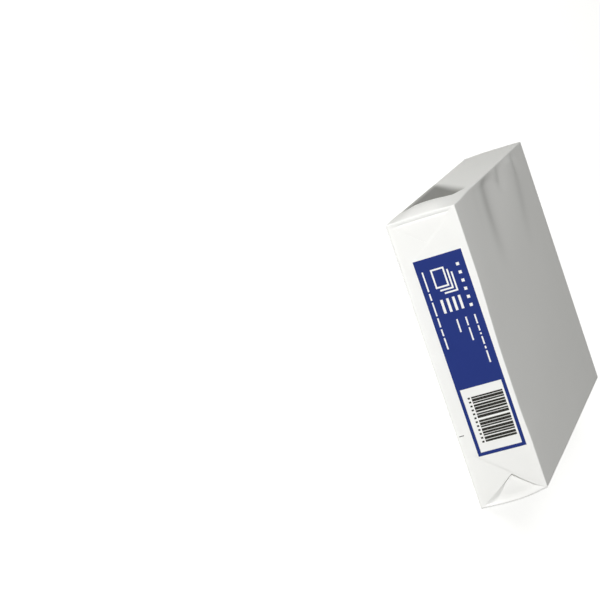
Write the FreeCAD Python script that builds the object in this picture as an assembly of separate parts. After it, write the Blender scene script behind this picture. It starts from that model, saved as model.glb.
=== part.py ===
"""A wrapped ream of A4 office paper: 500 sheets sealed in one folded paper wrapper.

Frame: millimetres, +Z up, origin under the middle of the pack. The pack lies flat on its
seamed face. Its printed end faces -Y and its long sides face -X and +X.
"""

import FreeCAD
import Part
import math
import os

# Sheets and wrapper
sheet_width = 210.0
sheet_length = 297.0
sheet_count = 500
sheet_thickness = 0.1
wrapper_thickness = 0.12
side_slack = 0.4
end_fold_thickness = 0.65

# Rounded edges of the wrapper
long_edge_radius = 1.6
end_edge_radius = 1.2

# How far the sides stand out beyond the sheets, at half height
side_puff = 0.3
front_right_puff = 2.2
front_left_puff = 0.4
crest_puff = 4.8
back_puff = 1.0
puff_reach = 42.0

# Folded ends: the tips of the tucked triangles, in from the side and above half height
front_right_tip = (18.3, 4.5)
front_left_tip = (19.8, -0.5)
back_tip = (22.0, 0.4)
flap_corner_inset = 1.6
outer_flap_margin = 8.0
inner_flap_step = 0.3
tuck_step = 0.45
tuck_gap_depth = 0.55

# Hollow pressed into the left side behind its crest
hollow_depth = 2.2
hollow_length = 74.0
hollow_from_end = 72.0
hollow_bottom_clearance = 3.0
hollow_top_clearance = 7.0
hollow_curve = 6.0

# Shallow buckles in the top face, running in from the left edge:
# place as a share of the pack's length, then length, width, depth and slant in degrees
top_buckles = [
    (0.39, 52.0, 17.0, 0.5, -27.0),
    (0.57, 14.0, 9.0, 0.35, -12.0),
    (0.79, 66.0, 15.0, 0.4, -20.0),
]
buckle_edge_clearance = 2.0
buckle_curve = 20.0

# Lap seam along the underside
seam_offset = 18.0
seam_step = 0.12
seam_ramp = 60.0

# Printed field on the front end
ink_thickness = 0.1
field_bottom = 11.0
field_top_margin = 3.7
field_left_clearance = 0.7
field_right_clearance = 1.8
border = 2.5
window_width = 47.0

# White marks left open in the printed field: a row of squares, drawn sheets that lie one behind
# another, broad bars beside them and lines of short marks
mark_margin = 8.6
drawing_bottom = 9.8
drawing_gap_above = 4.2
sheet_stroke = 1.2
drawn_sheets = 3
sheet_shift = 2.5
bar_gap = 3.2
bar_width = 10.0
bar_count = 4
bar_height = 1.9
square_size = 2.2
square_count = 6
square_top_margin = 4.4
line_height = 1.1
line_gap = 6.0
mark_gap = 1.4
bottom_line_height = 3.6
bottom_line_share = 0.7
# lines of short marks: how much of the free width they fill, and their relative lengths
side_lines = [
    (0.82, [7.0, 4.0, 1.4, 6.0, 2.0, 9.0]),
    (0.40, [6.0, 9.0]),
    (0.22, [9.0]),
]
bottom_line = [17.0, 6.0, 12.0, 8.0, 6.0, 10.0]

# Bars in the window, and the cutting mark below the field
bars_side_margin = 6.6
bars_bottom = 6.0
bars_top_margin = 1.4
bar_steps = [1, 2, 1, 3, 2, 1, 4, 1, 2, 2, 1, 1, 3, 1, 2, 1, 4, 2, 1, 1, 2, 3, 1, 1, 2, 4, 1, 2, 1, 3, 1]
figure_count = 12
figure_width = 1.3
figure_height = 1.6
figure_gap = 1.0
cut_mark_from_side = 52.6
cut_mark_width = 1.0
cut_mark_low = 2.0
cut_mark_gap = 2.4

# Sizes that follow
pack_width = sheet_width + 2.0 * (wrapper_thickness + side_slack)
pack_length = sheet_length + 2.0 * end_fold_thickness
pack_height = sheet_count * sheet_thickness + 2.0 * wrapper_thickness
half_width = pack_width / 2.0
half_length = pack_length / 2.0
half_height = pack_height / 2.0

# The sheets stand this far off the middle, so that both puffed sides reach equally far from it
sheet_offset = (max(crest_puff, back_puff) - max(front_right_puff, back_puff)) / 2.0

up = FreeCAD.Vector(0, 0, 1)

# How the surfaces are worked out: sections along the pack, and how far cutters start outside it
section_count = 29
outside = 5.0


def puffed_side(x, puff, y):
    """One side of a section, from below the underside to above the top face.

    It stands out by puff at half height. Of the curve's five evenly spaced poles only the middle
    one stands out. It has 6/16 of the weight at half height, so it stands out 16/6 as far.
    """
    step = (pack_height + 2.0 * outside) / 4.0
    poles = [FreeCAD.Vector(x, y, -outside + i * step) for i in range(5)]
    poles[2].x += puff * 16.0 / 6.0
    curve = Part.BezierCurve()
    curve.setPoles(poles)
    return curve.toShape()


def cross_section(y, left_puff, right_puff):
    """The pack's outline at one station, taller than the pack, with puffed sides."""
    right = puffed_side(half_width, right_puff, y)
    left = puffed_side(-half_width, -left_puff, y)
    low = Part.makeLine(left.Vertexes[0].Point, right.Vertexes[0].Point)
    high = Part.makeLine(right.Vertexes[1].Point, left.Vertexes[1].Point)
    return Part.Wire([low, right, high, left])


def fading(share):
    """One at an end, nought at the puff's reach and beyond, smooth between."""
    return (1.0 + math.cos(math.pi * min(share, 1.0))) / 2.0


def puffs_at(y):
    """How far the left and the right side stand out at one place along the pack."""
    front = (y + half_length) / puff_reach
    back = (half_length - y) / puff_reach
    crest = math.sin(math.pi * min(front, 1.0)) ** 2
    both = side_puff + (back_puff - side_puff) * fading(back)
    left = both + (front_left_puff - side_puff) * fading(front) + (crest_puff - side_puff) * crest
    return left, both + (front_right_puff - side_puff) * fading(front)


def edges_along(shape, places):
    """The edges whose middle is near one of the (axis, place) pairs, such as ("z", 0.0)."""
    near = long_edge_radius / 100.0
    found = []
    for edge in shape.Edges:
        middle = edge.CenterOfMass
        if any(abs(getattr(middle, axis) - place) < near for axis, place in places):
            found.append(edge)
    return found


def body():
    """The wrapped stack before its ends are folded.

    A loft through evenly spaced sections gives the puffed sides. A slab cuts it flat at the top
    and the underside, and then the long edges and the rims of both ends are rounded.
    """
    sections = []
    for i in range(section_count):
        y = -half_length + i * pack_length / (section_count - 1)
        sections.append(cross_section(y, *puffs_at(y)))
    loft = Part.makeLoft(sections, True, False)
    reach = half_width + outside
    slab = Part.makeBox(2.0 * reach, pack_length, pack_height, FreeCAD.Vector(-reach, -half_length, 0))
    block = loft.common(slab)
    long_edges = []
    for edge in edges_along(block, [("z", 0.0), ("z", pack_height)]):
        if edge.BoundBox.YLength > half_length:
            long_edges.append(edge)
    block = block.makeFillet(long_edge_radius, long_edges)
    rims = []
    for edge in edges_along(block, [("y", -half_length), ("y", half_length)]):
        if edge.BoundBox.YLength < end_edge_radius / 100.0:
            rims.append(edge)
    return block.makeFillet(end_edge_radius, rims)


def wedge(corners, direction, depths):
    """A cutter over a flat polygon on an end face. It starts outside and reaches each depth.

    corners are (x, z) places, direction is -1 at the front end and +1 at the back.
    """
    face_y = direction * half_length
    outer = [FreeCAD.Vector(x, face_y + direction * outside, z) for x, z in corners]
    inner = []
    for (x, z), depth in zip(corners, depths):
        inner.append(FreeCAD.Vector(x, face_y - direction * depth, z))
    faces = [Part.Face(Part.makePolygon(ring + ring[:1])) for ring in (outer, inner)]
    for i in range(len(corners)):
        j = (i + 1) % len(corners)
        ring = [outer[i], outer[j], inner[j], inner[i], outer[i]]
        faces.append(Part.Face(Part.makePolygon(ring)))
    solid = Part.Solid(Part.Shell(faces))
    if solid.Volume < 0:
        solid.reverse()
    return solid


def fold_line(sign, tip):
    """The corner and the tip of a tucked triangle as (x, z), on the side that sign gives."""
    corner = (sign * (half_width - flap_corner_inset), pack_height)
    return corner, (sign * (half_width - tip[0]), half_height + tip[1])


def on_fold(sign, tip, height):
    """The x of the outer flap's slanting edge at one height."""
    corner, point = fold_line(sign, tip)
    share = (corner[1] - height) / (corner[1] - point[1])
    return corner[0] + (point[0] - corner[0]) * share


def end_folds(direction, left_tip, right_tip):
    """Cutters that leave an envelope fold on one end.

    The outer flap hangs from the top face, the inner flap rises from the underside and the
    two tucked sides show as triangles between them, sinking towards the sides.
    """
    edge = half_width + outside
    left = fold_line(-1.0, left_tip)[1]
    right = fold_line(1.0, right_tip)[1]
    left_end = (on_fold(-1.0, left_tip, outer_flap_margin), outer_flap_margin)
    right_end = (on_fold(1.0, right_tip, outer_flap_margin), outer_flap_margin)
    inner_area = [(-edge, -outside), (edge, -outside), (edge, 0.0), right]
    inner_area += [right_end, left_end, left, (-edge, 0.0)]
    cutters = [wedge(inner_area, direction, [inner_flap_step] * len(inner_area))]
    for sign, tip in ((-1.0, left_tip), (1.0, right_tip)):
        corner, point = fold_line(sign, tip)
        area = [corner, point, (sign * half_width, 0.0), (sign * edge, 0.0), (sign * edge, corner[1])]
        slope = tuck_gap_depth / (half_width - abs(point[0]))
        depths = [tuck_step + slope * (abs(x) - abs(point[0])) for x, z in area]
        cutters.append(wedge(area, direction, depths))
    return cutters


def stretched_ball(radii, centre, turn_degrees=0.0):
    """An ellipsoid with three radii, turned about Z and moved to its centre."""
    matrix = FreeCAD.Matrix()
    matrix.scale(*radii)
    ball = Part.makeSphere(1.0).transformGeometry(matrix)
    ball.rotate(FreeCAD.Vector(), up, turn_degrees)
    ball.translate(FreeCAD.Vector(*centre))
    return ball


def spread(size, curve, depth):
    """The radius that gives a footprint of this size to a ball sunk by depth."""
    return size / 2.0 / math.sqrt(1.0 - ((curve - depth) / curve) ** 2)


def hollow():
    """The hollow in the left side, where the wrapper sinks onto the stack."""
    height = pack_height - hollow_bottom_clearance - hollow_top_clearance
    centre = (
        -half_width - side_puff - hollow_curve + hollow_depth,
        -half_length + hollow_from_end,
        hollow_bottom_clearance + height / 2.0,
    )
    radii = (
        hollow_curve,
        spread(hollow_length, hollow_curve, hollow_depth),
        spread(height, hollow_curve, hollow_depth),
    )
    return stretched_ball(radii, centre)


def buckle(share, length, width, depth, slant):
    """One shallow valley in the top face, starting beside the left long edge."""
    reach_x = length / 2.0 * math.cos(math.radians(slant))
    reach_y = length / 2.0 * math.sin(math.radians(slant))
    centre = (
        -half_width + long_edge_radius + buckle_edge_clearance + reach_x,
        -half_length + share * pack_length + reach_y,
        pack_height + buckle_curve - depth,
    )
    radii = (
        spread(length, buckle_curve, depth),
        spread(width, buckle_curve, depth),
        buckle_curve,
    )
    return stretched_ball(radii, centre, slant)


def seam():
    """The step under the free edge of the wrapper's lap, fading out over the ramp."""
    y0 = -half_length - outside
    profile = [
        FreeCAD.Vector(seam_offset, y0, -outside),
        FreeCAD.Vector(seam_offset, y0, seam_step),
        FreeCAD.Vector(seam_offset + seam_ramp, y0, 0.0),
        FreeCAD.Vector(seam_offset + seam_ramp, y0, -outside),
    ]
    face = Part.Face(Part.makePolygon(profile + profile[:1]))
    return face.extrude(FreeCAD.Vector(0, pack_length + 2.0 * outside, 0))


def wrapped_ream():
    """The whole sealed pack as one solid."""
    shape = body()
    cutters = end_folds(-1.0, front_left_tip, front_right_tip)
    cutters += end_folds(1.0, back_tip, back_tip)
    cutters.append(seam())
    cutters += [buckle(*values) for values in top_buckles]
    cutters.append(hollow())
    for cutter in cutters:
        shape = shape.cut(cutter)
    return shape


def field_span():
    """The printed field's low and high x. It fills the outer flap at its lower edge."""
    low = on_fold(-1.0, front_left_tip, field_bottom) + field_left_clearance
    high = on_fold(1.0, front_right_tip, field_bottom) - field_right_clearance
    return low, high


def field_top():
    return pack_height - field_top_margin


def window():
    """The open window's low and high x, then its low and high z."""
    high = field_span()[1] - border
    return high - window_width, high, field_bottom + border, field_top() - border


def ink_box(x0, x1, z0, z1, recess=0.0):
    """A thin printed rectangle on the front end."""
    y = -half_length + recess - ink_thickness
    return Part.makeBox(x1 - x0, ink_thickness, z1 - z0, FreeCAD.Vector(x0, y, z0))


def cutting_box(x0, x1, z0, z1):
    """A box through the whole thickness of the print."""
    y = -half_length - outside
    return Part.makeBox(x1 - x0, 2.0 * outside, z1 - z0, FreeCAD.Vector(x0, y, z0))


def square_row():
    """The low and high z of the row of small squares near the field's top edge."""
    high = field_top() - square_top_margin
    return high - square_size, high


def drawing_height():
    return square_row()[0] - drawing_gap_above - field_bottom - drawing_bottom


def front_sheet():
    """The width and height of the foremost drawn sheet, a real sheet's proportions on its side."""
    height = drawing_height() - (drawn_sheets - 1) * sheet_shift
    return height * sheet_length / sheet_width, height


def drawing_span():
    """The low and high x of the drawn sheets together with the bars beside them."""
    low = field_span()[0] + mark_margin
    sheets = front_sheet()[0] + (drawn_sheets - 1) * sheet_shift
    return low, low + sheets + bar_gap + bar_width


def sheet_outlines():
    """A whole outline in front, and the top and right edges of each sheet behind it."""
    width, height = front_sheet()
    x0 = drawing_span()[0]
    z0 = field_bottom + drawing_bottom
    s = sheet_stroke
    outline = cutting_box(x0, x0 + width, z0, z0 + height)
    cuts = [outline.cut(cutting_box(x0 + s, x0 + width - s, z0 + s, z0 + height - s))]
    for i in range(1, drawn_sheets):
        shift = i * sheet_shift
        left, right = x0 + shift, x0 + width + shift
        low, high = z0 + shift, z0 + height + shift
        cuts.append(cutting_box(left, right, high - s, high))
        cuts.append(cutting_box(right - s, right, low, high))
    return cuts


def broad_bars():
    """Even bars, as high together as the drawn sheets beside them."""
    high = drawing_span()[1]
    pitch = (drawing_height() - bar_height) / (bar_count - 1)
    z0 = field_bottom + drawing_bottom
    heights = [z0 + i * pitch for i in range(bar_count)]
    return [cutting_box(high - bar_width, high, z, z + bar_height) for z in heights]


def squares():
    """The row of small squares, as wide as the drawing below it."""
    low, high = drawing_span()
    pitch = (high - low - square_size) / (square_count - 1)
    starts = [low + i * pitch for i in range(square_count)]
    return [cutting_box(x0, x0 + square_size, *square_row()) for x0 in starts]


def line_of_marks(x0, width, z0, lengths):
    """Short marks with even gaps, which fill the given width."""
    scale = (width - mark_gap * (len(lengths) - 1)) / sum(lengths)
    cuts = []
    for length in lengths:
        cuts.append(cutting_box(x0, x0 + length * scale, z0, z0 + line_height))
        x0 += length * scale + mark_gap
    return cuts


def small_lines():
    """The lines of marks beside the drawing and along the field's lower edge."""
    low = field_span()[0] + mark_margin
    free_from = drawing_span()[1] + line_gap
    free_to = window()[0] - line_gap
    top = square_row()[0] + (square_size - line_height) / 2.0
    pitch = (top - field_bottom - drawing_bottom) / len(side_lines)
    cuts = line_of_marks(
        low, (free_to - low) * bottom_line_share, field_bottom + bottom_line_height, bottom_line
    )
    for i, (share, lengths) in enumerate(side_lines):
        width = (free_to - free_from) * share
        cuts += line_of_marks(free_from, width, top - i * pitch, lengths)
    return cuts


def blue_print():
    """The blue field with its border, its open window and the marks left white."""
    low, high = field_span()
    field = ink_box(low, high, field_bottom, field_top())
    marks = sheet_outlines() + broad_bars() + squares() + small_lines()
    return field.cut(cutting_box(*window())).cut(Part.makeCompound(marks))


def black_print():
    """Bars and figures in the window, and the cutting mark on the inner flap."""
    x0, x1, z0, z1 = window()
    x0 += bars_side_margin
    x1 -= bars_side_margin
    z0 += bars_bottom
    z1 -= bars_top_margin
    unit = (x1 - x0) / sum(bar_steps)
    x = x0
    marks = []
    for index, steps in enumerate(bar_steps):
        if index % 2 == 0:
            marks.append(ink_box(x, x + steps * unit, z0, z1))
        x += steps * unit
    pitch = (x1 - x0 - figure_width) / (figure_count - 1)
    figure_top = z0 - figure_gap
    for i in range(figure_count):
        x = x0 + i * pitch
        marks.append(ink_box(x, x + figure_width, figure_top - figure_height, figure_top))
    mark_x = half_width - cut_mark_from_side
    mark_span = (mark_x - cut_mark_width / 2.0, mark_x + cut_mark_width / 2.0)
    mark_high = outer_flap_margin - cut_mark_gap
    marks.append(ink_box(*mark_span, cut_mark_low, mark_high, recess=inner_flap_step))
    return Part.makeCompound(marks)


os.makedirs("parts", exist_ok=True)
nodes = {
    "wrapped_ream": wrapped_ream(),
    "blue_print": blue_print(),
    "black_print": black_print(),
}
for name, shape in nodes.items():
    shape.translate(FreeCAD.Vector(sheet_offset, 0, 0))
    print(name, "valid", shape.isValid(), "solids", len(shape.Solids), "volume", round(shape.Volume, 3))
    shape.exportStep(f"parts/{name}.step")
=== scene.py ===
"""A sealed ream of A4 paper in its folded white wrapper, laid out as an add-on and run as a script."""

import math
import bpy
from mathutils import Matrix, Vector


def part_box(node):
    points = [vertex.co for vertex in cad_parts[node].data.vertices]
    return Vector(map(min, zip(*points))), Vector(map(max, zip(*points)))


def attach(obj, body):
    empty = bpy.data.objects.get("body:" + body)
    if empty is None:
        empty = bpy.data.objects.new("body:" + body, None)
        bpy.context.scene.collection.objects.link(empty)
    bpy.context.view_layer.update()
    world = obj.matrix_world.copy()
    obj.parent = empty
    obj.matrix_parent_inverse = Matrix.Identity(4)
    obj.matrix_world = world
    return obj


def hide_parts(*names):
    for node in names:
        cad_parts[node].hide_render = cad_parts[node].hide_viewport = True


bl_info = {
    "name": "Ream of paper",
    "version": (1, 0, 0),
    "blender": (4, 5, 0),
    "location": "3D View > Sidebar > Ream",
    "description": "Builds a wrapped ream of office paper, the print on its end and a pale studio",
    "category": "Add Mesh",
}

import bpy
import numpy as np
from mathutils import Matrix

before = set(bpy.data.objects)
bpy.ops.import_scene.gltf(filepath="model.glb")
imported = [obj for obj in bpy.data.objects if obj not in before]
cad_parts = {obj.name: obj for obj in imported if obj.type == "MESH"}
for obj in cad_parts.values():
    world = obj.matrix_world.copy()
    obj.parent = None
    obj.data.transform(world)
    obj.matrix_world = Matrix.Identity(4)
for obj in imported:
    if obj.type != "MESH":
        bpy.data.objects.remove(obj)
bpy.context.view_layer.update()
BODY_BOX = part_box("wrapped_ream")

# Lengths in this file are millimetres unless a property says otherwise.
MM = 0.001
HEIGHT = BODY_BOX[1].z / MM
HALF_LENGTH = (BODY_BOX[1].y - BODY_BOX[0].y) / 2 / MM
HALF_WIDTH = 105.52
HALF_HEIGHT = HEIGHT / 2
# The sheets stand this far off the middle of the pack's box.
SHEETS_X = 1.3

# Folded ends: the tips of the tucked triangles, in from the side and above half height
FRONT_LEFT_TIP = (19.8, -0.5)
FRONT_RIGHT_TIP = (18.3, 4.5)
BACK_TIP = (22.0, 0.4)
# The outer flap's slanting edges start this far in from the side, and its lower edge ends this high.
CORNER_INSET = 1.6
FLAP_MARGIN = 8.0
INNER_FLAP_STEP = 0.3
FLAP_CURL = 0.22
# The lap seam on the underside: its place, its step and how far the step takes to fade out
SEAM_X = 18.0
SEAM_STEP = 0.14
SEAM_RAMP = 60.0
# Starts of the random draws for the swelling of each end
FRONT_SEED = 21
BACK_SEED = 31

# The print on the front end as boxes, from and to in x, then in z
FIELD = (-75.35, 70.34, 11.0, 46.54)
WINDOW = (20.84, 67.84, 13.5, 44.04)
CUTTING_MARK = (52.67, 53.17, 2.0, 5.6)
INK_THICKNESS = 0.06
INK_SUNK = 0.02
LINE_HEIGHT = 1.1


class ReamSizes(bpy.types.PropertyGroup):
    """Sizes of the wrapper that a user may change."""

    edge_radius: bpy.props.FloatProperty(
        name="Long edge radius",
        description="Rounding of the four long edges",
        default=0.0009,
        min=0.0006,
        max=0.003,
        unit="LENGTH",
    )
    fold_radius: bpy.props.FloatProperty(
        name="End fold radius",
        description="Rounding where the wrapper turns over onto an end",
        default=0.0008,
        min=0.0003,
        max=0.0015,
        unit="LENGTH",
    )
    puff: bpy.props.FloatProperty(
        name="Front left puff",
        description="How far the wrapper stands off the sheets beside the printed end",
        default=0.0049,
        min=0.0,
        max=0.008,
        unit="LENGTH",
    )
    hollow: bpy.props.FloatProperty(
        name="Hollow depth",
        description="How deep the left side sinks behind the puff",
        default=0.0018,
        min=0.0,
        max=0.003,
        unit="LENGTH",
    )
    right_bulge: bpy.props.FloatProperty(
        name="Front right bulge",
        description="How far the right side bulges beside the printed end",
        default=0.0024,
        min=0.0,
        max=0.004,
        unit="LENGTH",
    )
    wrinkle: bpy.props.FloatProperty(
        name="Wrinkle height",
        description="Height of the soft wrinkles in the top face",
        default=0.002,
        min=0.0,
        max=0.004,
        unit="LENGTH",
    )


class ReamFinish(bpy.types.PropertyGroup):
    """Colours and gloss of the wrapper and its print."""

    paper: bpy.props.FloatVectorProperty(
        name="Wrapper",
        description="Colour of the wrapper paper",
        default=(0.88, 0.88, 0.87),
        size=3,
        subtype="COLOR",
    )
    blue: bpy.props.FloatVectorProperty(
        name="Blue ink",
        description="Colour of the printed field",
        default=(0.018, 0.035, 0.187),
        size=3,
        subtype="COLOR",
    )
    black: bpy.props.FloatVectorProperty(
        name="Black ink",
        description="Colour of the bars and figures",
        default=(0.032, 0.032, 0.028),
        size=3,
        subtype="COLOR",
    )
    roughness: bpy.props.FloatProperty(
        name="Paper roughness",
        description="Roughness of the wrapper under its coating",
        default=0.62,
        min=0.1,
        max=1.0,
        subtype="FACTOR",
    )
    coating: bpy.props.FloatProperty(
        name="Coating",
        description="Strength of the wrapper's smooth coating",
        default=0.12,
        min=0.0,
        max=1.0,
        subtype="FACTOR",
    )


class StudioSettings(bpy.types.PropertyGroup):
    """Light and floor around the pack."""

    key: bpy.props.FloatProperty(
        name="Key light",
        description="How bright white paper looks when it faces the soft lamp in front",
        default=0.92,
        min=0.0,
        max=3.0,
    )
    fill: bpy.props.FloatProperty(
        name="Fill light",
        description="How bright white paper looks when it faces the soft lamp behind",
        default=0.32,
        min=0.0,
        max=3.0,
    )
    sky: bpy.props.FloatProperty(
        name="Sky",
        description="Brightness of the even light from all round",
        default=0.07,
        min=0.0,
        max=1.0,
    )
    floor_colour: bpy.props.FloatVectorProperty(
        name="Floor",
        description="Colour of the floor",
        default=(0.8, 0.8, 0.77),
        size=3,
        subtype="COLOR",
    )


def smooth(value):
    """Nought below 0, one above 1 and a cubic ease between."""
    value = np.clip(value, 0.0, 1.0)
    return value * value * (3.0 - 2.0 * value)


def bell(distance, width):
    """One at no distance, about a third at the width, and then soon nought."""
    return np.exp(-((distance / width) ** 2))


def half_cosine(distance, length):
    """One up to no distance, then half a cosine down to nought at the length."""
    return 0.5 + 0.5 * np.cos(np.pi * np.clip(distance / length, 0.0, 1.0))


def waves(u, v, seed, length, count=7):
    """A sum of plane sine waves with seeded directions and phases, about -1 to 1."""
    rng = np.random.default_rng(seed)
    total = np.zeros(np.broadcast(u, v).shape)
    for _ in range(count):
        angle = rng.uniform(0.0, 2.0 * np.pi)
        stretch = rng.uniform(0.7, 1.5)
        phase = rng.uniform(0.0, 2.0 * np.pi)
        along = u * np.cos(angle) + v * np.sin(angle)
        total += np.sin(2.0 * np.pi * along / (length * stretch) + phase)
    return total / math.sqrt(count * 2.0)


def left_puff(front, z, size):
    """How far the left side stands out, from the distance to the printed end and the height.

    Along the pack it is a parabola up to a crest, then half a cosine down. Across the height
    it is a smooth curve through measured shares, full in the middle and nought at both edges.
    """
    heights = [0.0, 4.0, 6.0, 8.5, 11.0, 13.5, 18.0, 24.0, 32.0, 38.0, 43.0, 47.0, HEIGHT]
    shares = [0.12, 0.16, 0.24, 0.38, 0.53, 0.7, 0.93, 1.0, 0.97, 0.86, 0.6, 0.27, 0.0]
    height = size * softened(z, heights, shares, 5)
    crest = 22.0 + 26.0 * smooth((z - 38.0) / 10.0)
    rise = 1.0 - (1.0 - np.clip(front / crest, 0.0, 1.0)) ** 2
    return height * np.where(front < crest, rise, half_cosine(front - crest, 46.0))


def left_dent(front, z):
    """How strongly the left side is dented, 0 to 1, behind the puff's crest.

    It starts softly behind the crest and fades out across a line that slants towards the end.
    """
    start = smooth((front - 34.0) / (36.0 - 0.45 * z))
    line = 171.0 - 2.1 * z
    end = 1.0 - smooth((front - line + 12.0) / 24.0)
    top = 1.0 - smooth((z - 40.5) / 4.5)
    return start * end * top


def right_bulge(front, z, size):
    """How far the right side stands out beside the printed end.

    A smooth curve through measured heights, drawn in at the top corner, that fades along the pack.
    """
    heights = [0.0, 7.0, 13.0, 19.0, 25.0, 31.0, 37.0, 43.0, 49.0, HEIGHT]
    shares = [0.86, 0.92, 0.96, 1.0, 0.97, 0.85, 0.56, 0.1, -0.5, -0.6]
    return size * softened(z, heights, shares, 9) * half_cosine(front, 95.0)


def softened(z, places, values, width):
    """A line through values given at heights, smoothed by weights over width even steps."""
    even = np.linspace(0.0, HEIGHT, 61)
    padded = np.pad(np.interp(even, places, values), width // 2, mode="edge")
    weights = np.hanning(width + 2)[1:-1]
    return np.interp(z, even, np.convolve(padded, weights / weights.sum(), mode="valid"))


def front_lift(x, z, front):
    """How far the folded layers lift the front edges: full at the crest, then half a cosine down.

    The top rises most on the left and again near the right corner. The bottom rises on the left.
    The print lies between the two and isn't lifted.
    """
    crest = 14.0
    top = 1.9 * (1.0 - smooth((x + 62.0) / 70.0)) + 0.8 * smooth((x - 45.0) / 25.0)
    bottom = 0.9 * (1.0 - smooth((x + 75.0) / 60.0))
    above = smooth((z - FIELD[3]) / (HEIGHT - FIELD[3]))
    below = 1.0 - smooth(z / 9.0)
    rise = 0.9 + 0.1 * smooth(front / crest)
    return (top * above + bottom * below) * rise * half_cosine(front - crest, 62.0)


# Soft wrinkles in the top face, each a ridge or valley across a line:
# start x, start y, end x, end y, width, height as a share of the wrinkle height
WRINKLES = [
    (-106.0, -15.0, -26.0, -38.0, 22.0, -1.5),
    (-104.0, 29.0, -80.0, 27.0, 10.0, -0.7),
    (-106.0, 80.0, -26.0, 41.0, 18.0, 0.75),
    (-103.0, 96.0, -84.0, 89.0, 8.0, -0.6),
    (-104.0, -60.0, -50.0, -70.0, 16.0, -0.2),
]


def wrinkle_place(x, y, wrinkle):
    """How far in front of a wrinkle's line each point lies, and how strong the wrinkle is there.

    It is full over the first quarter of the line and then eases away to its end.
    """
    x0, y0, x1, y1 = wrinkle[:4]
    length = math.hypot(x1 - x0, y1 - y0)
    ax, ay = (x1 - x0) / length, (y1 - y0) / length
    along = ((x - x0) * ax + (y - y0) * ay) / length
    across = (x - x0) * ay - (y - y0) * ax
    return across, smooth(along / 0.12 + 0.5) * (1.0 - smooth((along - 0.25) / 0.75))


def wrinkle_shade(points):
    """How much shade is painted on the steep side of each wrinkle, on the top face only.

    A bell curve lies along the steepest place of each side, and the strongest one counts.
    """
    deepest_painted_shade = 0.2
    x, y, z = points.T
    shade = np.zeros(len(points))
    for wrinkle in WRINKLES:
        width, share = wrinkle[4:]
        across, fade = wrinkle_place(x, y, wrinkle)
        from_steepest = across + 0.7 * width * math.copysign(1.0, share)
        shade = np.maximum(shade, abs(share) * fade * bell(from_steepest, 0.75 * width))
    calm = smooth((HALF_WIDTH + 1.0 - np.abs(x)) / 4.0)
    return deepest_painted_shade * shade * calm * smooth(z - HEIGHT + 1.0)


def top_wrinkles(x, y):
    """Height of the wrinkles: a bell curve across each line that fades along it.

    A valley is steep on its front side and a ridge on its back side. Slow waves are added.
    """
    total = np.zeros(np.broadcast(x, y).shape)
    for wrinkle in WRINKLES:
        width, share = wrinkle[4:]
        across, fade = wrinkle_place(x, y, wrinkle)
        spread = width * np.where(across * share < 0.0, 1.0, 1.8)
        total += share * fade * bell(across, spread)
    calm = smooth((HALF_WIDTH - np.abs(x)) / 7.0)
    return calm * (total + 0.16 * waves(x, y, 11, 120.0))


def bend(points, sizes):
    """Moves the nominal box's points to the puffed, dented and wrinkled shape.

    Each part is a smooth function of the point, so shared edges stay shared. A belly that is one
    at half height and nought at both edges swells the sides, most at the back end. Side moves
    fade out over the reach inwards, and top moves fade out below the top face.
    """
    x, y, z = points[..., 0], points[..., 1], points[..., 2]
    front = y + HALF_LENGTH
    back = HALF_LENGTH - y
    t = np.clip(z / HEIGHT, 0.0, 1.0)
    belly = 16.0 * (t * (1.0 - t)) ** 2
    rest = belly * (0.15 + 0.35 * half_cosine(back, 42.0))
    dent = left_dent(front, z)
    left = rest * (1.0 - dent) + left_puff(front, z, sizes.puff / MM)
    left = left - sizes.hollow / MM * dent * smooth(z / 30.0)
    left = left + 0.18 * waves(y, z * 2.0, 5, 90.0) * belly * smooth(front / 60.0)
    right = rest + right_bulge(front, z, sizes.right_bulge / MM)
    right = right + 0.2 * waves(y, z * 2.0, 6, 95.0) * belly
    reach = 30.0
    left_share = smooth((-x - HALF_WIDTH + reach) / reach)
    right_share = smooth((x - HALF_WIDTH + reach) / reach)
    top_share = smooth((z - HEIGHT + 6.0) / 6.0) * smooth(front / 12.0) * smooth(back / 12.0)
    moved = points.copy()
    moved[..., 0] += right * right_share - left * left_share
    moved[..., 2] += top_share * sizes.wrinkle / MM * top_wrinkles(x, y) + front_lift(x, z, front)
    return moved


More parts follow.
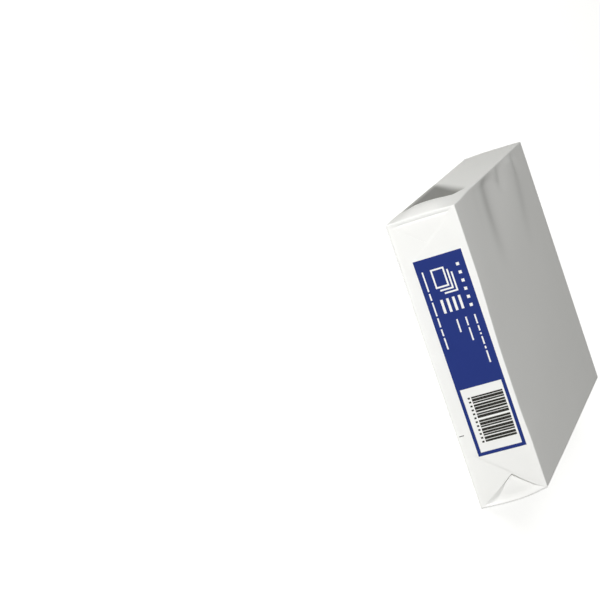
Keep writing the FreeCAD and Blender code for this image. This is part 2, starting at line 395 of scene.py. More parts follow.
def rounded_loop(radius, long_count, side_count, arc_count):
    """The pack's cross section as x, z places and outward normals, going round from bottom left.

    Straight runs joined by quarter circles: bottom, right, top and left. Two places close
    together on the bottom and top runs hold the lap seam's step. Places on the side runs are
    closer near the edges.
    """
    half_step = 0.03
    edge = HALF_WIDTH - radius
    across = np.linspace(-edge, edge, long_count)
    seam = int(np.searchsorted(across, SEAM_X))
    across[seam - 1] = SEAM_X - half_step
    across[seam] = SEAM_X + half_step
    spread = 0.5 - 0.5 * np.cos(np.linspace(0.0, np.pi, side_count))
    spread = 0.55 * spread + 0.45 * np.linspace(0.0, 1.0, side_count)
    up = radius + (HEIGHT - 2.0 * radius) * spread
    turn = np.linspace(0.0, 0.5 * np.pi, arc_count + 2)[1:-1]
    places, normals = [], []

    def run(x, z, nx, nz):
        places.append(np.column_stack(np.broadcast_arrays(x, z)))
        normals.append(np.column_stack(np.broadcast_arrays(nx + 0.0 * x, nz + 0.0 * z)))

    def arc(cx, cz, start):
        nx, nz = np.cos(start + turn), np.sin(start + turn)
        run(cx + radius * nx, cz + radius * nz, nx, nz)

    run(across, np.zeros(long_count), 0.0, -1.0)
    arc(edge, radius, -0.5 * np.pi)
    run(np.full(side_count, HALF_WIDTH), up, 1.0, 0.0)
    arc(edge, HEIGHT - radius, 0.0)
    run(across[::-1], np.full(long_count, HEIGHT), 0.0, 1.0)
    arc(-edge, HEIGHT - radius, 0.5 * np.pi)
    run(np.full(side_count, -HALF_WIDTH), up[::-1], -1.0, 0.0)
    arc(-edge, radius, np.pi)
    return np.vstack(places), np.vstack(normals)


def quads_of(grid, closed=False):
    """Quad corners of a grid of vertex numbers; closed joins the last column to the first."""
    if closed:
        grid = np.column_stack([grid, grid[:, :1]])
    a, b = grid[:-1, :-1], grid[:-1, 1:]
    c, d = grid[1:, 1:], grid[1:, :-1]
    return np.stack([a, b, c, d], axis=-1).reshape(-1, 4)


def triangles_of(quads):
    """Each quad cut into two triangles."""
    return np.vstack([quads[:, [0, 1, 2]], quads[:, [0, 2, 3]]])


def welded(points, quads):
    """Joins points that lie within half a micrometre and drops the triangles that close up.

    Gives the kept points' numbers and the triangles between them.
    """
    keys = np.round(points * 2000.0).astype(np.int64)
    _, first, number = np.unique(keys, axis=0, return_index=True, return_inverse=True)
    triangles = triangles_of(number.reshape(-1)[quads])
    a, b, c = triangles.T
    return first, triangles[(a != b) & (b != c) & (c != a)]


def mesh_piece(name, points, triangles, crease_degrees=32.0):
    """An object at the origin from points in millimetres and outward triangles, smooth shaded."""
    corners = points[triangles]
    volume = np.einsum("ij,ij->i", corners[:, 0], np.cross(corners[:, 1], corners[:, 2])).sum()
    if volume < 0.0:
        triangles = triangles[:, ::-1]
    mesh = bpy.data.meshes.new(name)
    mesh.vertices.add(len(points))
    mesh.vertices.foreach_set("co", (points * MM).astype(np.float32).ravel())
    mesh.loops.add(triangles.size)
    mesh.loops.foreach_set("vertex_index", triangles.astype(np.int32).ravel())
    mesh.polygons.add(len(triangles))
    mesh.polygons.foreach_set("loop_start", np.arange(0, triangles.size, 3, dtype=np.int32))
    mesh.polygons.foreach_set("use_smooth", np.ones(len(triangles), dtype=bool))
    mesh.update(calc_edges=True)
    if mesh.validate(verbose=False):
        raise RuntimeError(f"{name}: the mesh had faults")
    mesh.set_sharp_from_angle(angle=math.radians(crease_degrees))
    piece = bpy.data.objects.new(name, mesh)
    bpy.context.scene.collection.objects.link(piece)
    return piece


def line_distance(x, z, start, end):
    """Signed distance from a line, positive on its left, going from start to end."""
    length = math.hypot(end[0] - start[0], end[1] - start[1])
    ax, az = (end[0] - start[0]) / length, (end[1] - start[1]) / length
    return (z - start[1]) * ax - (x - start[0]) * az


def from_rim(x, z):
    """Distance from the nearest edge of an end."""
    return np.minimum(np.minimum(z, HEIGHT - z), HALF_WIDTH - np.abs(x))


def end_relief(x, z, seed):
    """Slow swelling of a flat end, positive outwards: two seeded wave sums, nought at the rim."""
    swell = 0.35 + 0.16 * waves(x, z, seed, 62.0) + 0.07 * waves(x, z, seed + 1, 25.0)
    return smooth(from_rim(x, z) / 9.0) * swell


def rim_fade(x, z, reach=3.0):
    """Nought on the rim of an end and one at the reach inside it, where folds are at full depth."""
    return smooth((from_rim(x, z) - 0.8) / reach)


class EndFold:
    """The folded panels of one end: where they meet and how deep each lies."""

    def __init__(self, side, left_tip, right_tip, seed):
        self.side = side
        self.seed = seed
        self.left = (-HALF_WIDTH + left_tip[0], HALF_HEIGHT + left_tip[1])
        self.right = (HALF_WIDTH - right_tip[0], HALF_HEIGHT + right_tip[1])

    def slant(self, sign):
        """The top corner and the tuck's tip that a slanting edge of the outer flap runs through."""
        return (sign * (HALF_WIDTH - CORNER_INSET), HEIGHT), self.right if sign > 0 else self.left

    def free_corner(self, sign):
        """Where a slanting edge of the outer flap reaches its lower edge."""
        corner, tip = self.slant(sign)
        share = (corner[1] - FLAP_MARGIN) / (corner[1] - tip[1])
        return (corner[0] + (tip[0] - corner[0]) * share, FLAP_MARGIN)

    def edge_path(self, share):
        """Places along the outer flap's edge, from the left tip down, along and up to the right."""
        stops = np.array([self.left, self.free_corner(-1), self.free_corner(1), self.right])
        steps = np.hypot(*np.diff(stops, axis=0).T)
        reached = np.concatenate([[0.0], np.cumsum(steps)]) / steps.sum()
        return np.column_stack([np.interp(share, reached, stops[:, i]) for i in (0, 1)])

    def outer_depth(self, x, z):
        """The outer flap is nearly flat, and its two slanting edges curl in a little."""
        left, right = (np.abs(line_distance(x, z, *self.slant(sign))) for sign in (-1.0, 1.0))
        curl = FLAP_CURL * rim_fade(x, z) * bell(np.minimum(left, right), 1.1)
        return curl - end_relief(x, z, self.seed)

    def inner_depth(self, x, z):
        """The inner flap lies one step deeper."""
        return INNER_FLAP_STEP * rim_fade(x, z) - end_relief(x, z, self.seed)

    def tuck_depth(self, x, z, sign):
        """A tucked side: it sinks towards its two folds.

        On the printed end the right one is deeper and has a slanting facet beside the inner
        flap, and the left one has a pinched crease beside its side edge.
        """
        corner, tip = self.slant(sign)
        upper = np.abs(line_distance(x, z, corner, tip))
        lower = np.abs(line_distance(x, z, (sign * HALF_WIDTH, 0.0), tip))
        if self.side < 0 and sign > 0:
            depth = self.open_tuck(x, z, upper, lower, tip)
        else:
            depth = (0.25 + 0.1 * bell(upper, 1.5) + 0.08 * bell(lower, 1.5)) * rim_fade(x, z)
        if self.side < 0 and sign < 0:
            inward = HALF_WIDTH - np.abs(x)
            pinch = 0.4 * bell(inward - 3.0, 0.7) - 0.2 * bell(inward - 1.3, 0.7)
            depth = depth + pinch * smooth(z / 12.0)
        return depth - end_relief(x, z, self.seed)

    def open_tuck(self, x, z, upper, lower, tip):
        """Depth of the tuck that stands open: a facet slants down to a valley beside its low fold.

        The facet's width follows a line through widths at shares of the tip's height. Past it
        the valley dies away over 8 mm.
        """
        depth = (0.75 + 0.4 * bell(upper, 3.5)) * rim_fade(x, z, 5.0)
        fold = 0.3 * rim_fade(x, z, 1.4)
        up = np.clip(z / tip[1], 0.0, 1.0)
        width = np.interp(up, [0.0, 0.12, 0.36, 0.62, 0.78, 1.0], [2.2, 3.3, 3.8, 2.6, 0.8, 0.4])
        valley = 1.3 * np.exp(-np.clip(lower - width, 0.0, None) / 8.0) * rim_fade(x, z, 1.4)
        facet = fold + (depth + valley - fold) * np.clip(lower / width, 0.0, 1.0)
        return np.where(lower < width, facet, depth + valley)


def wrapper_mesh(sizes):
    """Points and quads of the whole wrapper, before it is bent.

    The tube is the rounded loop carried along the pack, with more rings over the crumpled front
    part. Its rims turn in by a quarter circle. On each end, rays run from every place on the rim
    to a target: a tuck's tip, or the outer flap's edge. Neighbouring panels repeat their shared
    ray at their own depth, and strips between the repeats close the small steps.
    """
    radius, fold = sizes.edge_radius / MM, sizes.fold_radius / MM
    long_count, side_count, arc_count, rays = 131, 42, 5, 24
    front_part, near_rings, far_rings = 124.0, 84, 72
    places, normals = rounded_loop(radius, long_count, side_count, arc_count)
    side_total = side_count + 2 * arc_count
    near = np.linspace(0.0, front_part, near_rings)
    far = np.linspace(front_part, 2.0 * (HALF_LENGTH - fold), far_rings)[1:]
    between = -HALF_LENGTH + fold + np.concatenate([near, far])[1:-1]
    turns = np.linspace(0.0, 0.5 * np.pi, 6)
    rim = HALF_LENGTH - fold * (1.0 - np.sin(turns))
    inset = fold * (1.0 - np.cos(turns))
    ys = np.concatenate([-rim[::-1], between, rim])[:, None]
    insets = np.concatenate([inset[::-1], np.zeros(len(between)), inset])[:, None]
    tube = np.empty((len(ys), len(places), 3))
    tube[..., 0] = places[:, 0] - insets * normals[:, 0]
    tube[..., 1] = ys
    tube[..., 2] = places[:, 1] - insets * normals[:, 1]
    under = (normals[:, 1] < -0.99) & (places[:, 0] > SEAM_X)
    tube[..., 2] += under * SEAM_STEP * np.clip(1.0 - (places[:, 0] - SEAM_X) / SEAM_RAMP, 0.0, 1.0)
    points = [tube.reshape(-1, 3)]
    quads = [quads_of(np.arange(tube[..., 0].size).reshape(tube.shape[:2]), closed=True)]
    used = tube[..., 0].size

    bottom = np.arange(long_count)
    right = np.arange(long_count - 1, long_count + side_total + 1)
    top = np.arange(long_count + side_total, 2 * long_count + side_total)
    left = np.append(np.arange(2 * long_count + side_total - 1, len(places)), 0)
    share = np.linspace(0.0, 1.0, rays + 1)[:, None]
    for side, ring, tips, seed in (
        (-1.0, tube[0], (FRONT_LEFT_TIP, FRONT_RIGHT_TIP), FRONT_SEED),
        (1.0, tube[-1], (BACK_TIP, BACK_TIP), BACK_SEED),
    ):
        folds = EndFold(side, *tips, seed)
        path = folds.edge_path(np.linspace(0.0, 1.0, long_count))
        panels = (
            (bottom, path, folds.inner_depth, ()),
            (right, np.tile(folds.right, (len(right), 1)), folds.tuck_depth, (1.0,)),
            (top, path[::-1], folds.outer_depth, ()),
            (left, np.tile(folds.left, (len(left), 1)), folds.tuck_depth, (-1.0,)),
        )
        grids = []
        for indices, targets, depth, extra in panels:
            start = ring[indices][:, [0, 2]]
            x = start[:, 0] * (1.0 - share) + targets[:, 0] * share
            z = start[:, 1] * (1.0 - share) + targets[:, 1] * share
            y = side * (HALF_LENGTH - depth(x, z, *extra) * smooth(share * 12.0))
            y[0] = ring[indices][:, 1]
            panel = np.stack([x, y, z], axis=-1)
            points.append(panel.reshape(-1, 3))
            grids.append(used + np.arange(x.size).reshape(x.shape))
            used += x.size
        low, right_tuck, high, left_tuck = grids
        strips = [
            np.stack([low[:, -1], right_tuck[:, 0]], axis=1),
            np.stack([right_tuck[:, -1], high[:, 0]], axis=1),
            np.stack([high[:, -1], left_tuck[:, 0]], axis=1),
            np.stack([left_tuck[:, -1], low[:, 0]], axis=1),
            np.stack([low[-1], high[-1, ::-1]], axis=0),
        ]
        caps = [
            [low[-1, -1], right_tuck[-1, 0], high[-1, 0], high[-1, 0]],
            [high[-1, -1], left_tuck[-1, 0], low[-1, 0], low[-1, 0]],
        ]
        faces = np.vstack([quads_of(grid) for grid in grids + strips] + [np.array(caps)])
        quads.append(faces if side > 0 else faces[:, ::-1])
    return np.vstack(points), np.vstack(quads)


def front_surface(x, z):
    """The y of the printed end's surface: the outer flap, or the inner flap below its edge."""
    depth = np.where(z < FLAP_MARGIN, INNER_FLAP_STEP * rim_fade(x, z), 0.0)
    return -HALF_LENGTH + depth - end_relief(x, z, FRONT_SEED)


def filled_lines(stops, step):
    """Sorted places with more put between them, so that no gap is longer than step."""
    stops = np.unique(np.round(stops, 4))
    lines = []
    for low, high in zip(stops[:-1], stops[1:]):
        count = max(1, int(math.ceil((high - low) / step)))
        lines.append(np.linspace(low, high, count + 1)[:-1])
    return np.concatenate(lines + [stops[-1:]])


def covered(x_lines, z_lines, boxes):
    """Which cells of the grid lie in any of the boxes (x0, x1, z0, z1)."""
    x = (x_lines[:-1] + x_lines[1:])[:, None] / 2.0
    z = (z_lines[:-1] + z_lines[1:])[None, :] / 2.0
    inside = np.zeros((x.size, z.size), dtype=bool)
    for x0, x1, z0, z1 in boxes:
        inside |= (x > x0) & (x < x1) & (z > z0) & (z < z1)
    return inside


def ink_piece(name, filled, cut):
    """A closed layer of ink that follows the end's surface, from filled boxes less cut boxes.

    The layer is a grid over x and z whose lines run along every box edge. Its back is sunk a hair
    into the paper and its face stands off by the ink's thickness. Rims close it all round.
    """
    every = np.array(filled + cut)
    x_lines = filled_lines(every[:, :2].ravel(), 3.0)
    z_lines = filled_lines(every[:, 2:].ravel(), 3.0)
    keep = covered(x_lines, z_lines, filled) & ~covered(x_lines, z_lines, cut)
    x, z = np.meshgrid(x_lines, z_lines, indexing="ij")
    y = front_surface(x, z)
    back = np.stack([x, y + INK_SUNK, z], axis=-1).reshape(-1, 3)
    face = np.stack([x, y - INK_THICKNESS, z], axis=-1).reshape(-1, 3)
    number = np.arange(x.size).reshape(x.shape)
    corner = np.stack([number[:-1, :-1], number[1:, :-1], number[1:, 1:], number[:-1, 1:]], axis=-1)
    faces = [corner[keep] + x.size, corner[keep][:, ::-1]]
    padded = np.pad(keep, 1)
    for axis, shift, ends in ((0, -1, (3, 0)), (0, 1, (1, 2)), (1, -1, (0, 1)), (1, 1, (2, 3))):
        other = np.roll(padded, -shift, axis=axis)[1:-1, 1:-1]
        rim = corner[keep & ~other]
        a, b = rim[:, ends[0]], rim[:, ends[1]]
        faces.append(np.stack([a, b, b + x.size, a + x.size], axis=-1))
    used, inverse = np.unique(np.vstack(faces), return_inverse=True)
    points = np.vstack([back, face])[used]
    return mesh_piece(name, points, triangles_of(inverse.reshape(-1, 4)))


def even_starts(low, high, size, count):
    """Starts of count equal marks that fill the span from low to high."""
    return low + np.arange(count) * (high - low - size) / (count - 1)


def mark_line(x0, width, z0, lengths, gap=1.4):
    """Short marks with even gaps that together fill the width."""
    scale = (width - gap * (len(lengths) - 1)) / sum(lengths)
    boxes = []
    for length in lengths:
        boxes.append((x0, x0 + length * scale, z0, z0 + LINE_HEIGHT))
        x0 += length * scale + gap
    return boxes


def white_marks():
    """Boxes left open in the blue field: squares, stacked sheets, broad bars and lines of marks."""
    square, line_gap = 2.2, 6.0
    shift, stroke, sheets = 2.5, 1.2, 3
    bar_width, bar_height, bar_gap = 10.0, 1.9, 3.2
    low = FIELD[0] + 8.6
    floor = FIELD[2] + 9.8
    square_top = FIELD[3] - 4.4
    drawing = square_top - square - 4.2 - floor
    height = drawing - (sheets - 1) * shift
    width = height * 297.0 / 210.0
    boxes = [
        (low, low + width, floor, floor + stroke),
        (low, low + width, floor + height - stroke, floor + height),
        (low, low + stroke, floor, floor + height),
        (low + width - stroke, low + width, floor, floor + height),
    ]
    for i in range(1, sheets):
        x0, x1 = low + i * shift, low + width + i * shift
        z0, z1 = floor + i * shift, floor + height + i * shift
        boxes += [(x0, x1, z1 - stroke, z1), (x1 - stroke, x1, z0, z1)]
    high = low + width + (sheets - 1) * shift + bar_gap + bar_width
    for z0 in even_starts(floor, floor + drawing, bar_height, 4):
        boxes.append((high - bar_width, high, z0, z0 + bar_height))
    for x0 in even_starts(low, high, square, 6):
        boxes.append((x0, x0 + square, square_top - square, square_top))
    free_from, free_to = high + line_gap, WINDOW[0] - line_gap
    first = square_top - square + (square - LINE_HEIGHT) / 2.0
    pitch = (first - floor) / 3.0
    boxes += mark_line(low, (free_to - low) * 0.7, FIELD[2] + 3.6, [17, 6, 12, 8, 6, 10])
    rows = ((0.82, [7, 4, 1.4, 6, 2, 9]), (0.40, [6, 9]), (0.22, [9]))
    for i, (share, lengths) in enumerate(rows):
        boxes += mark_line(free_from, (free_to - free_from) * share, first - i * pitch, lengths)
    return boxes


# Widths of the bars and of the gaps between them, by turns, in two groups with a wide gap
BAR_STEPS = [3, 1, 5, 1, 3, 2, 4, 1, 5, 1, 4, 2, 3, 1, 5]
BAR_STEPS += [4] + [4, 1, 5, 1, 3, 2, 5, 1, 4, 1, 3, 2, 5, 1, 4]


def dark_marks():
    """Boxes of the bars and figures in the window, and of the cutting mark on the inner flap."""
    side_margin, figure_width = 6.6, 1.3
    x0, x1 = WINDOW[0] + side_margin, WINDOW[1] - side_margin
    z0, z1 = WINDOW[2] + 6.0, WINDOW[3] - 1.4
    edges = x0 + np.concatenate([[0], np.cumsum(BAR_STEPS)]) * (x1 - x0) / sum(BAR_STEPS)
    boxes = [(edges[i], edges[i + 1], z0, z1) for i in range(0, len(BAR_STEPS), 2)]
    for x in even_starts(x0, x1, figure_width, 12):
        boxes.append((x, x + figure_width, z0 - 2.6, z0 - 1.0))
    return boxes + [CUTTING_MARK]


def node_of(tree, kind, place, **values):
    """A shader node at a place in the editor with properties set."""
    node = tree.nodes.new(kind)
    node.location = place
    for name, value in values.items():
        setattr(node, name, value)
    return node


def paper_grain():
    """Node group: fibre grain and faint clouds of paper, on object coordinates.

    Gives the colour with a little variation, a roughness that varies about its value, and a
    normal with fine fibre bumps over soft cockling.
    """
    tree = bpy.data.node_groups.new("paper_grain", "ShaderNodeTree")
    face = tree.interface
    face.new_socket("Color", in_out="INPUT", socket_type="NodeSocketColor")
    face.new_socket("Variation", in_out="INPUT", socket_type="NodeSocketFloat")
    face.new_socket("Roughness", in_out="INPUT", socket_type="NodeSocketFloat")
    face.new_socket("Bump", in_out="INPUT", socket_type="NodeSocketFloat")
    face.new_socket("Color", in_out="OUTPUT", socket_type="NodeSocketColor")
    face.new_socket("Roughness", in_out="OUTPUT", socket_type="NodeSocketFloat")
    face.new_socket("Normal", in_out="OUTPUT", socket_type="NodeSocketVector")
    link = tree.links.new
    given = node_of(tree, "NodeGroupInput", (-900, 0))
    put = node_of(tree, "NodeGroupOutput", (500, 0))
    where = node_of(tree, "ShaderNodeTexCoord", (-900, 300))
    fibre = node_of(tree, "ShaderNodeTexNoise", (-650, 400))
    fibre.inputs["Scale"].default_value = 900.0
    fibre.inputs["Detail"].default_value = 3.0
    cloud = node_of(tree, "ShaderNodeTexNoise", (-650, 150))
    cloud.inputs["Scale"].default_value = 22.0
    cloud.inputs["Detail"].default_value = 2.0
    link(where.outputs["Object"], fibre.inputs["Vector"])
    link(where.outputs["Object"], cloud.inputs["Vector"])
    mixed = node_of(tree, "ShaderNodeMath", (-430, 300), operation="ADD")
    link(fibre.outputs["Fac"], mixed.inputs[0])
    link(cloud.outputs["Fac"], mixed.inputs[1])
    centred = node_of(tree, "ShaderNodeMath", (-260, 300), operation="SUBTRACT")
    centred.inputs[1].default_value = 1.0
    link(mixed.outputs[0], centred.inputs[0])
    scaled = node_of(tree, "ShaderNodeMath", (-90, 300), operation="MULTIPLY_ADD")
    scaled.inputs[2].default_value = 1.0
    link(centred.outputs[0], scaled.inputs[0])
    link(given.outputs["Variation"], scaled.inputs[1])
    tinted = node_of(tree, "ShaderNodeVectorMath", (120, 200), operation="SCALE")
    link(given.outputs["Color"], tinted.inputs[0])
    link(scaled.outputs[0], tinted.inputs["Scale"])
    link(tinted.outputs[0], put.inputs["Color"])
    rough = node_of(tree, "ShaderNodeMath", (120, 0), operation="MULTIPLY")
    link(given.outputs["Roughness"], rough.inputs[0])
    link(scaled.outputs[0], rough.inputs[1])
    link(rough.outputs[0], put.inputs["Roughness"])
    cockle = node_of(tree, "ShaderNodeBump", (-90, -250))
    cockle.inputs["Distance"].default_value = 0.0012
    link(given.outputs["Bump"], cockle.inputs["Strength"])
    link(cloud.outputs["Fac"], cockle.inputs["Height"])
    bump = node_of(tree, "ShaderNodeBump", (120, -250))
    bump.inputs["Distance"].default_value = 0.00003
    link(given.outputs["Bump"], bump.inputs["Strength"])
    link(fibre.outputs["Fac"], bump.inputs["Height"])
    link(cockle.outputs["Normal"], bump.inputs["Normal"])
    link(bump.outputs["Normal"], put.inputs["Normal"])
    return tree


def grained(material, colour, variation, roughness, bump):
    """Places the paper grain in a material with its own values and joins it to the shader."""
    tree = material.node_tree
    group = bpy.data.node_groups.get("paper_grain") or paper_grain()
    grain = node_of(tree, "ShaderNodeGroup", (-500, 100), node_tree=group)
    grain.inputs["Color"].default_value = (*colour, 1.0)
    grain.inputs["Variation"].default_value = variation
    grain.inputs["Roughness"].default_value = roughness
    grain.inputs["Bump"].default_value = bump
    shader = tree.nodes["Principled BSDF"]
    tree.links.new(grain.outputs["Color"], shader.inputs["Base Color"])
    tree.links.new(grain.outputs["Roughness"], shader.inputs["Roughness"])
    tree.links.new(grain.outputs["Normal"], shader.inputs["Normal"])
    return grain, shader


def painted_shade(points):
    """Painted shade at each point, 0 to 1: in the left side's dent and on the wrinkles' steep sides.
    """
    x, y, z = points.T
    on_left = smooth((-x - HALF_WIDTH + 2.0) / 1.5)
    dent = left_dent(y + HALF_LENGTH, z) * on_left * (0.5 + 0.5 * smooth(z / 7.0))
    return np.maximum(dent, wrinkle_shade(points))


def new_material(name):
    """An empty material with the usual shader."""
    material = bpy.data.materials.new(name)
    material.use_nodes = True
    return material


def wrapper_material(finish):
    """White coated paper.

    Where the left side is dented, and on the steep sides of the wrinkles, shade is painted into
    the colour and the coating is lowered, so the paper is darker and shines less. The mask lies in
    the mesh, so it doesn't move.
    """
    material = new_material("wrapper_paper")
    tree = material.node_tree
    grain, shader = grained(material, finish.paper, 0.02, finish.roughness, 0.25)
    shader.inputs["Specular IOR Level"].default_value = 0.05
    shader.inputs["Coat Roughness"].default_value = 0.3
    shader.inputs["Coat IOR"].default_value = 1.5
    # The dent attribute is a mask of painted shade; it also lowers the coating.
    dent = node_of(tree, "ShaderNodeAttribute", (-900, -200), attribute_name="dent")
    dulled = node_of(tree, "ShaderNodeMath", (-300, -300), operation="MULTIPLY_ADD")
    dulled.inputs[1].default_value = -finish.coating
    dulled.inputs[2].default_value = finish.coating
    tree.links.new(dent.outputs["Fac"], dulled.inputs[0])
    tree.links.new(dulled.outputs[0], shader.inputs["Coat Weight"])
    # Painted shade: the colour is multiplied towards this grey where the mask is full.
    shade = node_of(tree, "ShaderNodeMix", (-250, 300), data_type="RGBA", blend_type="MULTIPLY")
    shade.inputs["B"].default_value = (0.3, 0.3, 0.29, 1.0)
    tree.links.new(dent.outputs["Fac"], shade.inputs["Factor"])
    tree.links.new(grain.outputs["Color"], shade.inputs["A"])
    tree.links.new(shade.outputs["Result"], shader.inputs["Base Color"])
    return material


def ink_material(name, colour, roughness):
    """Matt printed ink with the paper's grain showing through."""
    material = new_material(name)
    shader = grained(material, colour, 0.06, roughness, 0.2)[1]
    shader.inputs["Specular IOR Level"].default_value = 0.1
    return material


def finished(piece, node):
    """Hides the piece's CAD node and attaches the piece to the root body."""
    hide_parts(node)
    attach(piece, "root")


class OBJECT_OT_ream_wrapper(bpy.types.Operator):
    """Build the folded wrapper around the stack of sheets"""

    bl_idname = "object.ream_wrapper"
    bl_label = "Wrapper"

    def execute(self, context):
        sizes = context.scene.ream_sizes
        points, quads = wrapper_mesh(sizes)
        first, triangles = welded(points, quads)
        points = points[first]
        shaped = bend(points, sizes)
        shaped[:, 0] += SHEETS_X
        piece = mesh_piece("wrapper", shaped, triangles)
        # The dent attribute holds the painted shade for the left dent and the wrinkles' steep sides.
        dent = piece.data.attributes.new("dent", "FLOAT", "POINT")
        dent.data.foreach_set("value", painted_shade(points).astype(np.float32))
        piece.data.materials.append(wrapper_material(context.scene.ream_finish))
        finished(piece, "wrapped_ream")
        return {"FINISHED"}


class OBJECT_OT_ream_print(bpy.types.Operator):
    """Print the blue field and the black bars on the front end"""

    bl_idname = "object.ream_print"
    bl_label = "Print"

    def execute(self, context):
        finish = context.scene.ream_finish
        blue = ink_piece("blue_field", [FIELD], [WINDOW] + white_marks())
        blue.data.materials.append(ink_material("blue_ink", finish.blue, 0.45))
        black = ink_piece("black_bars", dark_marks(), [])
        black.data.materials.append(ink_material("black_ink", finish.black, 0.5))
        for piece, name in ((blue, "blue"), (black, "black")):
            piece.data.transform(Matrix.Translation((SHEETS_X * MM, 0.0, 0.0)))
            finished(piece, f"{name}_print")
        return {"FINISHED"}


def soft_lamp(name, direction, level, size, distance):
    """A square area lamp that faces the pack from a direction; level is how bright white looks."""
    data = bpy.data.lights.new(name, "AREA")
    data.shape = "SQUARE"
    data.size = size
    # A small lamp of power P lights a facing white surface to P / (pi d)^2.
    data.energy = level * (math.pi * distance) ** 2
    lamp = bpy.data.objects.new(name, data)
    bpy.context.scene.collection.objects.link(lamp)
    unit = np.array(direction, float) / np.linalg.norm(direction)
    side = np.cross((0.0, 0.0, 1.0), unit)
    side /= np.linalg.norm(side)
    up = np.cross(unit, side)
    axes = np.eye(4)
    axes[:3, :3] = np.column_stack([side, up, unit])
    axes[:3, 3] = unit * distance
    lamp.matrix_world = Matrix(axes)
    return lamp


def white_for_camera(tree, place):
    """One for camera, glossy and transmission rays, nought for the rest."""
    rays = node_of(tree, "ShaderNodeLightPath", place)
    total = rays.outputs["Is Camera Ray"]
    for i, name in enumerate(("Is Glossy Ray", "Is Transmission Ray")):
        spot = (place[0] + 200 * (i + 1), place[1])
        either = node_of(tree, "ShaderNodeMath", spot, operation="MAXIMUM")
        tree.links.new(total, either.inputs[0])
        tree.links.new(rays.outputs[name], either.inputs[1])
        total = either.outputs[0]
    return total


def studio_world(sky):
    """An even dim sky that is white to the camera and in reflections."""
    world = bpy.data.worlds.new("studio")
    world.use_nodes = True
    tree = world.node_tree
    plain = tree.nodes["Background"]
    plain.inputs["Color"].default_value = (1.0, 1.0, 0.8, 1.0)
    plain.inputs["Strength"].default_value = sky
    seen = node_of(tree, "ShaderNodeBackground", (0, -200))
    seen.inputs["Color"].default_value = (1.0, 1.0, 1.0, 1.0)
    seen.inputs["Strength"].default_value = 1.0
    mix = node_of(tree, "ShaderNodeMixShader", (250, 0))
    tree.links.new(white_for_camera(tree, (-700, 200)), mix.inputs["Fac"])
    tree.links.new(plain.outputs[0], mix.inputs[1])
    tree.links.new(seen.outputs[0], mix.inputs[2])
    tree.links.new(mix.outputs[0], tree.nodes["World Output"].inputs["Surface"])
    return world


def floor_material(colour, lift):
    """A pale floor that keeps the pack's shadow and looks white to the camera."""
    material = new_material("studio_floor")
    tree = material.node_tree
    tree.nodes.remove(tree.nodes["Principled BSDF"])
    matte = node_of(tree, "ShaderNodeBsdfDiffuse", (0, 100))
    matte.inputs["Color"].default_value = (*colour, 1.0)
    glow = node_of(tree, "ShaderNodeEmission", (0, -100))
    lifted = node_of(tree, "ShaderNodeMath", (-200, -100), operation="MULTIPLY")
    lifted.inputs[1].default_value = lift
    tree.links.new(white_for_camera(tree, (-900, -100)), lifted.inputs[0])
    tree.links.new(lifted.outputs[0], glow.inputs["Strength"])
    both = node_of(tree, "ShaderNodeAddShader", (250, 0))
    tree.links.new(matte.outputs[0], both.inputs[0])
    tree.links.new(glow.outputs[0], both.inputs[1])
    tree.links.new(both.outputs[0], tree.nodes["Material Output"].inputs["Surface"])
    return material


# The photograph's camera in the pack's frame: place, and its right, up and forward directions
CAMERA_PLACE = (-249.35, -1411.25, 358.23)
CAMERA_RIGHT = (0.32756, 0.26619, 0.90656)
CAMERA_UP = (-0.93569, 0.22450, 0.27217)
CAMERA_FORWARD = (0.13107, 0.93741, -0.32261)
CAMERA_LENS = 114.025


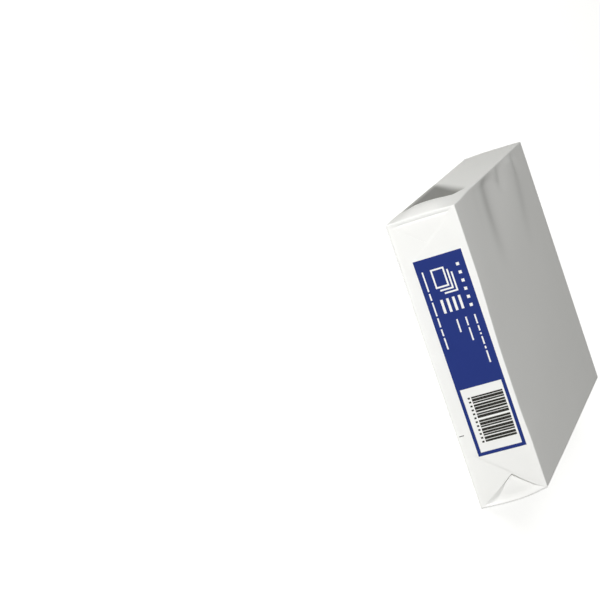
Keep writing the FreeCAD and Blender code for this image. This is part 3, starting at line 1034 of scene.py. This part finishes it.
class OBJECT_OT_ream_stage(bpy.types.Operator):
    """Set the pale floor, the soft light and the camera"""

    bl_idname = "object.ream_stage"
    bl_label = "Stage"

    def execute(self, context):
        scene = context.scene
        studio = scene.ream_studio
        mesh = bpy.data.meshes.new("floor")
        reach = 8.0
        signs = ((-1.0, -1.0), (1.0, -1.0), (1.0, 1.0), (-1.0, 1.0))
        mesh.from_pydata([(x * reach, y * reach, 0.0) for x, y in signs], [], [(0, 1, 2, 3)])
        floor = bpy.data.objects.new("floor", mesh)
        scene.collection.objects.link(floor)
        mesh.materials.append(floor_material(studio.floor_colour, lift=0.8))
        scene.world = studio_world(studio.sky)
        soft_lamp("key", (-0.49, -0.80, 0.345), studio.key, size=0.9, distance=2.4)
        soft_lamp("fill", (0.82, 0.56, 0.16), studio.fill, size=0.8, distance=3.0)
        data = bpy.data.cameras.new("camera")
        data.sensor_width = 36.0
        data.lens = CAMERA_LENS
        data.clip_start = 0.05
        camera = bpy.data.objects.new("camera", data)
        scene.collection.objects.link(camera)
        axes = np.eye(4)
        axes[:3, 0] = CAMERA_RIGHT
        axes[:3, 1] = CAMERA_UP
        axes[:3, 2] = -np.array(CAMERA_FORWARD)
        axes[:3, 3] = (np.array(CAMERA_PLACE) + (SHEETS_X, 0.0, 0.0)) * MM
        camera.matrix_world = Matrix(axes)
        scene.camera = camera
        scene.view_settings.view_transform = "Standard"
        return {"FINISHED"}


class VIEW3D_PT_ream(bpy.types.Panel):
    """Lists the ream's settings and the buttons that build it"""

    bl_idname = "VIEW3D_PT_ream"
    bl_label = "Ream of paper"
    bl_space_type = "VIEW_3D"
    bl_region_type = "UI"
    bl_category = "Ream"

    def draw(self, context):
        scene = context.scene
        for group in (scene.ream_sizes, scene.ream_finish, scene.ream_studio):
            box = self.layout.box()
            for name in group.__annotations__:
                box.prop(group, name)
        for operator in OPERATORS:
            self.layout.operator(operator.bl_idname)


OPERATORS = (OBJECT_OT_ream_wrapper, OBJECT_OT_ream_print, OBJECT_OT_ream_stage)
CLASSES = (ReamSizes, ReamFinish, StudioSettings, *OPERATORS, VIEW3D_PT_ream)


def register():
    """Adds the settings, the operators and the panel."""
    for cls in CLASSES:
        bpy.utils.register_class(cls)
    bpy.types.Scene.ream_sizes = bpy.props.PointerProperty(type=ReamSizes)
    bpy.types.Scene.ream_finish = bpy.props.PointerProperty(type=ReamFinish)
    bpy.types.Scene.ream_studio = bpy.props.PointerProperty(type=StudioSettings)


def unregister():
    """Takes out what register added, in the opposite order."""
    del bpy.types.Scene.ream_studio
    del bpy.types.Scene.ream_finish
    del bpy.types.Scene.ream_sizes
    for cls in reversed(CLASSES):
        bpy.utils.unregister_class(cls)


def main():
    """Builds the wrapper, the print and the stage."""
    register()
    bpy.ops.object.ream_wrapper()
    bpy.ops.object.ream_print()
    bpy.ops.object.ream_stage()


if __name__ == "__main__":
    main()
